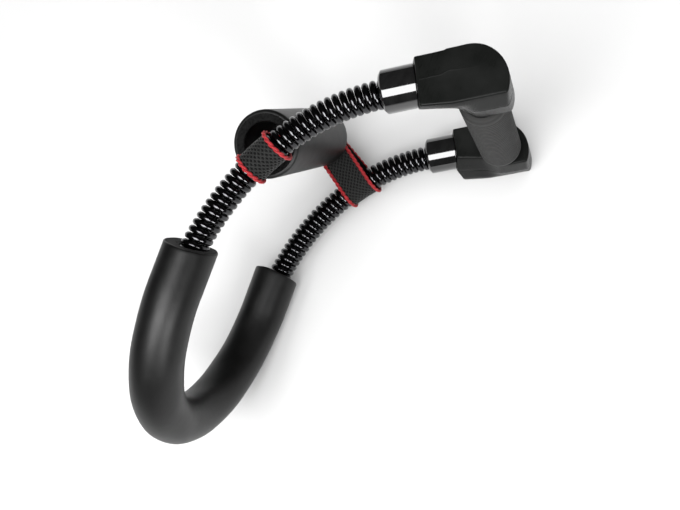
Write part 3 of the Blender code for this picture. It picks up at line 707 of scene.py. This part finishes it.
# red edges: two strands twisted round each other, sewn along each edge
for name, v0, node in (("elbow", -11.6, "red_edge_elbow_side"),
                       ("hand", 11.6, "red_edge_hand_side")):
    shape = Shape()
    turns = int(round(LOOP_LENGTH / 8.8))
    steps = turns * 18
    pos = np.arange(steps) * N_PATH / steps
    t = 2 * pi * turns * np.arange(steps) / steps
    for strand in (0.0, pi):
        v = v0 + 0.72 * np.cos(t + strand)
        off = 1.15 + 0.60 * np.sin(t + strand)
        path = strap_at(pos, v, off)
        centre_line = strap_at(pos, np.full(steps, v0), np.full(steps, 1.15))
        out = unit(path - centre_line)
        shape.grid(tube(path, out, 0.80, 10, closed=True), close_m=True, close_n=True,
                   uv=tube_uv(path, 10, True, 0.80))
    obj = shape.build("red_braid_" + name, [RED_YARN], 60.0)
    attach(obj, "strap")
    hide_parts(node)

# ---- forearm pad ------------------------------------------------------------
PAD_A = at(loop_s(PAD_HALF), PAD_N[0], PAD_HALF)
PAD_B = at(loop_s(-PAD_HALF), PAD_N[1], -PAD_HALF)
PAD_LEN = float(np.linalg.norm(PAD_A - PAD_B))
PAD_AXIS = unit(PAD_A - PAD_B)
PAD_SIDE = unit(np.cross(PAD_AXIS, (0.0, 0.0, 1.0)))
PAD_UP = unit(np.cross(PAD_SIDE, PAD_AXIS))


def pad_place(r, t, x):
    r, t, x = np.broadcast_arrays(r, t, x)
    return (PAD_B + PAD_AXIS * x[..., None] + PAD_SIDE * (r * np.cos(t))[..., None]
            + PAD_UP * (r * np.sin(t))[..., None])


half = [(PAD_BORE, 8.0), (PAD_BORE, 1.2), (PAD_BORE + 0.3, 0.35), (PAD_BORE + 1.2, 0.0),
        (18.2, 0.0), (19.8, 0.0), (21.3, 0.06)]
for i in range(1, 7):
    t = i / 6 * pi / 2
    half.append((PAD_R - 2.2 * (1 - sin(t)), 0.15 + 2.2 * (1 - cos(t))))
# the braid turns over this end, so the foam stops a little short of it
profile = [(r, x + 1.6) for r, x in half]
profile += [(PAD_R + 0.0, x) for x in np.linspace(8.0, PAD_LEN - 8.0, 30)]
profile += [(r, PAD_LEN - x) for r, x in reversed(half)]
profile += [(PAD_BORE, x) for x in np.linspace(PAD_LEN - 16.0, 16.0, 12)]
grid = lathe(pad_place, profile, 96)
mats = np.zeros(grid.shape[:2], int)
# index 1 marks the pad's end faces, which take the darkened cut foam (painted shade)
mats[1:6, :] = 1
back_from = len(half) + 30 + len(half) - 7
mats[back_from:back_from + 5, :] = 1
pad = Shape().grid(grid, close_m=True, close_n=True, mat=mats).build(
    "pad_foam", [FOAM, PAD_CUT_PAINTED_SHADE], 50.0)
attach(pad, "pad")
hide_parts("forearm_pad")

# ---- handle -----------------------------------------------------------------


def axle_place(r, t, x):
    r, t, x = np.broadcast_arrays(r, t, x)
    return fit(AXLE_A + r * np.cos(t), AXLE_B + r * np.sin(t), x)


prof = [(TUBE_R + GAP, -GRIP_HALF), (14.2, -GRIP_HALF), (15.4, -GRIP_HALF + 0.5),
        (GRIP_R, -GRIP_HALF + 1.8), (GRIP_R, -GRIP_HALF + 5.0)]
x = -GRIP_HALF + 6.0
while x < GRIP_HALF - 8.5:
    prof += [(GRIP_R, x), (15.55, x + 0.35), (15.45, x + 0.8), (15.55, x + 1.25),
             (GRIP_R, x + 1.6)]
    x += 3.6
prof += [(GRIP_R, GRIP_HALF - 5.0), (GRIP_R, GRIP_HALF - 1.8), (15.4, GRIP_HALF - 0.5),
         (14.2, GRIP_HALF), (TUBE_R + GAP, GRIP_HALF)]
grip = Shape().grid(lathe(axle_place, prof, 72), close_m=True, close_n=True).build(
    "grip_ribbed", [RUBBER], 50.0)
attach(grip, "handle")
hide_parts("grip_sleeve")

HUB_STEPS, BODY_STEPS, EDGE_STEPS = 30, 44, 10
STEP_A, STEP_DROP = 44.6, 0.45          # step across the fitting's top
PANEL_A, PANEL_DROP = 27.6, 0.22        # sunk panel above the ridge
LIP = 0.13                              # fine raised line along the panel and the ridge


def chain(d, w):
    """Outline of a shell at width w, set in by d: a closed list of (a, b) points."""
    r = HUB_R - d
    a0 = BODY_A0 + BASE_SLANT * abs(w - PART_W) + d
    top = BODY_TOP - d
    base = NECK_LOW + NECK_RISE * max(0.0, FACE_W - 4.5 - w) + d
    if w > PART_W:
        low = LOW_EDGE - (FACE_W - w) * LOW_SLOPE + d
    else:
        low = LOW_EDGE - (FACE_W - PART_W) * LOW_SLOPE + (PART_W - w) * INNER_RISE + d
    f = np.concatenate([np.linspace(0.0, 0.09, 12)[:-1], np.linspace(0.09, 1.0, BODY_STEPS)])
    a = a0 + (HUB_A - a0) * f
    th = np.linspace(0.0, pi / 2, HUB_STEPS + 1)[1:]
    a = np.concatenate([a, HUB_A + r * np.sin(th)])
    # a slight step where the narrow part meets the round end
    step = STEP_DROP * (1.0 - np.clip((a - STEP_A) / 1.4, 0.0, 1.0))
    up = np.minimum(top - step, top - SHOULDER + (a - a0))
    hub = HUB_B + np.sqrt(np.maximum(0.0, r * r - (a - HUB_A) ** 2))
    up = np.where(a > HUB_A, hub, up)
    knee = max(base - KNEE_DROP, low)
    down = np.interp(a, [a0, KNEE_A, FOOT_A, 200.0], [base, knee, low, low])
    for _ in range(14):
        soft = down.copy()
        soft[1:-1] = 0.25 * down[:-2] + 0.5 * down[1:-1] + 0.25 * down[2:]
        down[1:-1] = soft[1:-1]
    circle = np.where(a > HUB_A, HUB_B - np.sqrt(np.maximum(0.0, r * r - (a - HUB_A) ** 2)), -99.0)
    down = np.minimum(np.maximum(down, circle), up)
    # soften the corner where the underside meets the round end
    for _ in range(2):
        soft = down.copy()
        soft[1:-1] = 0.25 * down[:-2] + 0.5 * down[1:-1] + 0.25 * down[2:]
        down[2:-2] = soft[2:-2]
    left = [(a0, down[0] + (up[0] - down[0]) * i / EDGE_STEPS) for i in range(EDGE_STEPS, 0, -1)]
    bottom = list(zip(a, down))
    upper = list(zip(a[::-1], up[::-1]))
    return a, down, up, np.array(bottom + upper[1:] + left[1:])


def ridge_b(a):
    """Height of the ridge along the outer face: straight, with one jog."""
    return np.interp(a, [0.0, 41.0, 46.0, 57.0, 90.0],
                     [FACET_B, FACET_B, FACET_B + 1.6, FACET_B + 0.5, FACET_B + 0.5])


def facet(a, b):
    """How far the outer face has fallen away above its ridge."""
    a, b = np.asarray(a, float), np.asarray(b, float)
    k = FACET_DROP / (BODY_TOP - FACET_B)
    over = b - ridge_b(a)
    fade = np.clip((76.0 - a) / 24.0, 0.0, 1.0)
    fade = fade * fade * (3 - 2 * fade)
    soft = 0.3
    smooth = np.where(over > soft, over, np.where(over < -soft, 0.0,
                                                  (over + soft) ** 2 / (4 * soft)))
    panel = (np.clip(over / 0.5, 0.0, 1.0) * np.clip((STEP_A + 1.4 - a) / 1.4, 0.0, 1.0)
             * np.clip((a - PANEL_A) / 0.7, 0.0, 1.0))
    lip = np.exp(-(over / 0.38) ** 2) * np.clip((66.0 - a) / 20.0, 0.0, 1.0) * (a > PANEL_A - 0.5)
    lip = np.maximum(lip, np.exp(-((a - PANEL_A) / 0.38) ** 2) * (over > 0.0))
    return k * smooth * fade + PANEL_DROP * panel - LIP * lip


def outer_shell(side, tag):
    shape = Shape()
    rings = []
    edge = 1.3
    levels = [(PART_W + 0.15, 1.2), (PART_W + 0.15, 0.35), (PART_W + 0.35, 0.05),
              (PART_W + 0.8, 0.0)]
    levels += [(w, 0.0) for w in (87.0, 90.0, 93.0, 95.5, 97.5)]
    for w, d in levels:
        _, _, _, ring = chain(d, w)
        drop = facet(ring[:, 0], ring[:, 1]) * max(0.0, (w - 90.0) / (FACE_W - 90.0))
        rings.append(fit(ring[:, 0], ring[:, 1], side * (w - drop)))
    for i in range(0, 9):
        t = i / 8 * pi / 2
        w, d = FACE_W - edge * (1 - sin(t)), edge * (1 - cos(t))
        if i == 8:
            w = FACE_W
        _, _, _, ring = chain(d, min(w, FACE_W))
        drop = facet(ring[:, 0], ring[:, 1])
        rings.append(fit(ring[:, 0], ring[:, 1], side * (w - drop)))
    pts = np.array(rings)
    shape.grid(pts, close_n=True)
    first = shape.count - pts.shape[1]
    # cap: columns between the lower and upper chains
    a, down, up, ring = chain(edge, FACE_W)
    height = up - down
    crest = ridge_b(a)
    under = np.clip(crest - 1.0, down + 0.10 * height, up - 0.20 * height)
    over = np.clip(crest + 1.0, down + 0.20 * height, up - 0.10 * height)
    knots = np.stack([down, under, over, up], 1)
    t = np.concatenate([np.linspace(0.0, 1.0, 18)[:-1], np.linspace(1.0, 2.0, 13)[:-1],
                        np.linspace(2.0, 3.0, 24)])
    grid_b = np.array([np.interp(t, (0.0, 1.0, 2.0, 3.0), k) for k in knots])
    grid_a = np.repeat(a[:, None], len(t), axis=1)
    cap = fit(grid_a, grid_b, side * (FACE_W - facet(grid_a, grid_b)))
    shape.grid(cap)
    obj = shape.build("shell_outer_" + tag, [SATIN], 40.0, closed=False)
    bm = bmesh.new()
    bm.from_mesh(obj.data)
    bmesh.ops.remove_doubles(bm, verts=bm.verts, dist=0.00006)
    bmesh.ops.recalc_face_normals(bm, faces=bm.faces)
    bm.to_mesh(obj.data)
    bm.free()
    obj.data.shade_smooth()
    obj.data.set_sharp_from_angle(angle=radians(40.0))
    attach(obj, "handle")
    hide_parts("outer_shell_" + tag)


def inner_shell(side, tag):
    shape = Shape()
    rings = []
    levels = [(PART_W - 0.15, 1.2), (PART_W - 0.15, 0.35), (PART_W - 0.35, 0.05),
              (PART_W - 0.8, 0.0)]
    levels += [(w, 0.0) for w in (81.0, 78.0, 75.0, 72.0, 70.0)]
    for i in range(0, 7):
        t = i / 6 * pi / 2
        levels.append((INNER_W + 1.1 * (1 - sin(t)), 1.1 * (1 - cos(t))))
    for w, d in levels:
        _, _, _, ring = chain(d, w)
        rings.append(fit(ring[:, 0], ring[:, 1], np.full(len(ring), side * w)))
    ang = np.arctan2(ring[:, 1] - AXLE_B, ring[:, 0] - AXLE_A)
    for r, w in ((TUBE_R + 1.3, INNER_W), (TUBE_R + 0.7, INNER_W + 0.5),
                 (TUBE_R + 0.6, INNER_W + 2.5)):
        rings.append(fit(AXLE_A + r * np.cos(ang), AXLE_B + r * np.sin(ang),
                         np.full(len(ring), side * w)))
    obj = Shape().grid(np.array(rings), close_n=True).build(
        "shell_inner_" + tag, [SATIN], 40.0)
    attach(obj, "handle")
    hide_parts("inner_shell_" + tag)


for side, tag in ((LEFT, "left"), (RIGHT, "right")):
    outer_shell(side, tag)
    inner_shell(side, tag)
    w0 = side * HALF_SPAN

    prof = rounded([(10.3, 16.0), (10.3, 0.0), (NECK_R - 2.2, 0.0), (NECK_R, 1.8), (NECK_R, 3.0),
                    (NECK_R, 7.0), (NECK_R, 13.0), (NECK_R, 20.0), (NECK_R, NECK_LEN),
                    (9.0, NECK_LEN)], [0, 0.3, 0.4, 0.6, 0, 0, 0, 0, 0.3, 0], 4)
    turn = 2 * pi * np.arange(96) / 96
    rings = []
    for r, x in prof:
        lift = NECK_LIFT * min(1.0, max(0.0, (r - 10.3) / 1.2))
        slant = BASE_SLANT * min(1.0, max(0.0, (x - 7.0) / (NECK_LEN - 7.0))) ** 2
        rings.append(fit(x + slant * np.abs(r * np.sin(turn)), lift + r * np.cos(turn),
                         w0 + r * np.sin(turn)))
    neck = Shape().grid(np.array(rings), close_n=True).build("neck_gloss_" + tag, [GLOSS], 30.0)
    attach(neck, "handle")
    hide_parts("neck_collar_" + tag)

    prof = rounded([(TUBE_R + GAP, side * 60.4), (COLLAR_R - 0.6, side * 60.4),
                    (COLLAR_R, side * 61.0), (COLLAR_R, side * 65.7),
                    (TUBE_R + GAP, side * 65.7)], [0, 0.3, 0.3, 0.4, 0], 4)
    collar = Shape().grid(lathe(axle_place, prof, 96), close_m=True, close_n=True).build(
        "grip_flange_" + tag, [SATIN], 40.0)
    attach(collar, "handle")
    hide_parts("grip_collar_" + tag)

# ---- solids that keep their own shape ---------------------------------------
for name, obj in frame["nodes"].items():
    if obj.hide_render:
        continue
    obj.data.materials.clear()
    obj.data.materials.append(STEEL)
    obj.data.shade_smooth()
    obj.data.set_sharp_from_angle(angle=radians(35.0))

# ---- floor, light and camera ------------------------------------------------
# camera axes in the frame's directions: right, down, forward
CAM = np.array(((0.3478187854359216, -0.8982325184537615, -0.2687013868406586),
                (-0.9367755239020551, -0.3212140623579609, -0.13882774924893865),
                (0.03838893481083558, 0.2999997815594352, -0.9531665230946691)))
CAM_T = np.array((-76.21468907497037, 5.604820879828355, 671.8333028552963))
CAM_F = 891.1696378764129
eye = SHIFT - CAM.T @ CAM_T * MM
cam_data = bpy.data.cameras.new("photo_camera")
cam_data.sensor_width = 36.0
cam_data.lens = CAM_F / 680.0 * 36.0
cam_data.clip_start, cam_data.clip_end = 0.01, 50.0
cam = bpy.data.objects.new("photo_camera", cam_data)
bpy.context.scene.collection.objects.link(cam)
rot = Matrix((Vector(CAM[0]), Vector(-CAM[1]), Vector(-CAM[2]))).transposed()
cam.matrix_world = Matrix.Translation(Vector(eye)) @ rot.to_4x4()
bpy.context.scene.camera = cam

mesh = bpy.data.meshes.new("floor")
mesh.from_pydata([(-6, -6, 0), (6, -6, 0), (6, 6, 0), (-6, 6, 0)], [], [(0, 1, 2, 3)])
floor = bpy.data.objects.new("floor", mesh)
bpy.context.scene.collection.objects.link(floor)
fp = Paint("floor_pale", (0.43, 0.43, 0.43), 0.95, Specular_IOR_Level=0.1)
fp.bump(fp.noise(fp.coords(), 30.0, 2.0), 0.02, 0.2)
mesh.materials.append(fp.mat)

MIDDLE = Vector((0.02, 0.0, 0.12))


def softbox(name, direction, distance, width, height, radiance, up=(0.0, -1.0, 0.0)):
    """A soft light seen from the object in a direction of the camera's view."""
    d = Vector(CAM.T @ np.array(direction, float)).normalized()
    u = Vector(CAM.T @ np.array(up, float))
    z = d
    x = u.cross(z).normalized()
    y = z.cross(x).normalized()
    data = bpy.data.lights.new(name, "AREA")
    data.shape = "RECTANGLE"
    data.size, data.size_y = width, height
    data.energy = radiance * pi * width * height
    light = bpy.data.objects.new(name, data)
    bpy.context.scene.collection.objects.link(light)
    light.matrix_world = (Matrix.Translation(MIDDLE + d * distance)
                          @ Matrix((x, y, z)).transposed().to_4x4())
    light.visible_camera = False
    return light


softbox("key_left", (-0.43, 0.27, -0.86), 1.3, 0.86, 0.86, 12.5)
softbox("key_right", (0.27, 0.59, -0.76), 1.3, 0.54, 0.44, 17.5)
fill = softbox("overhead", (-0.22, -0.34, -0.91), 4.0, 7.0, 7.0, 2.4)
fill.visible_glossy = False

scene_world = bpy.data.worlds.new("studio")
bpy.context.scene.world = scene_world
scene_world.use_nodes = True
scene_world.node_tree.nodes["Background"].inputs["Color"].default_value = (1.0, 1.0, 1.0, 1.0)
scene_world.node_tree.nodes["Background"].inputs["Strength"].default_value = 0.04
bpy.context.scene.view_settings.view_transform = "Standard"
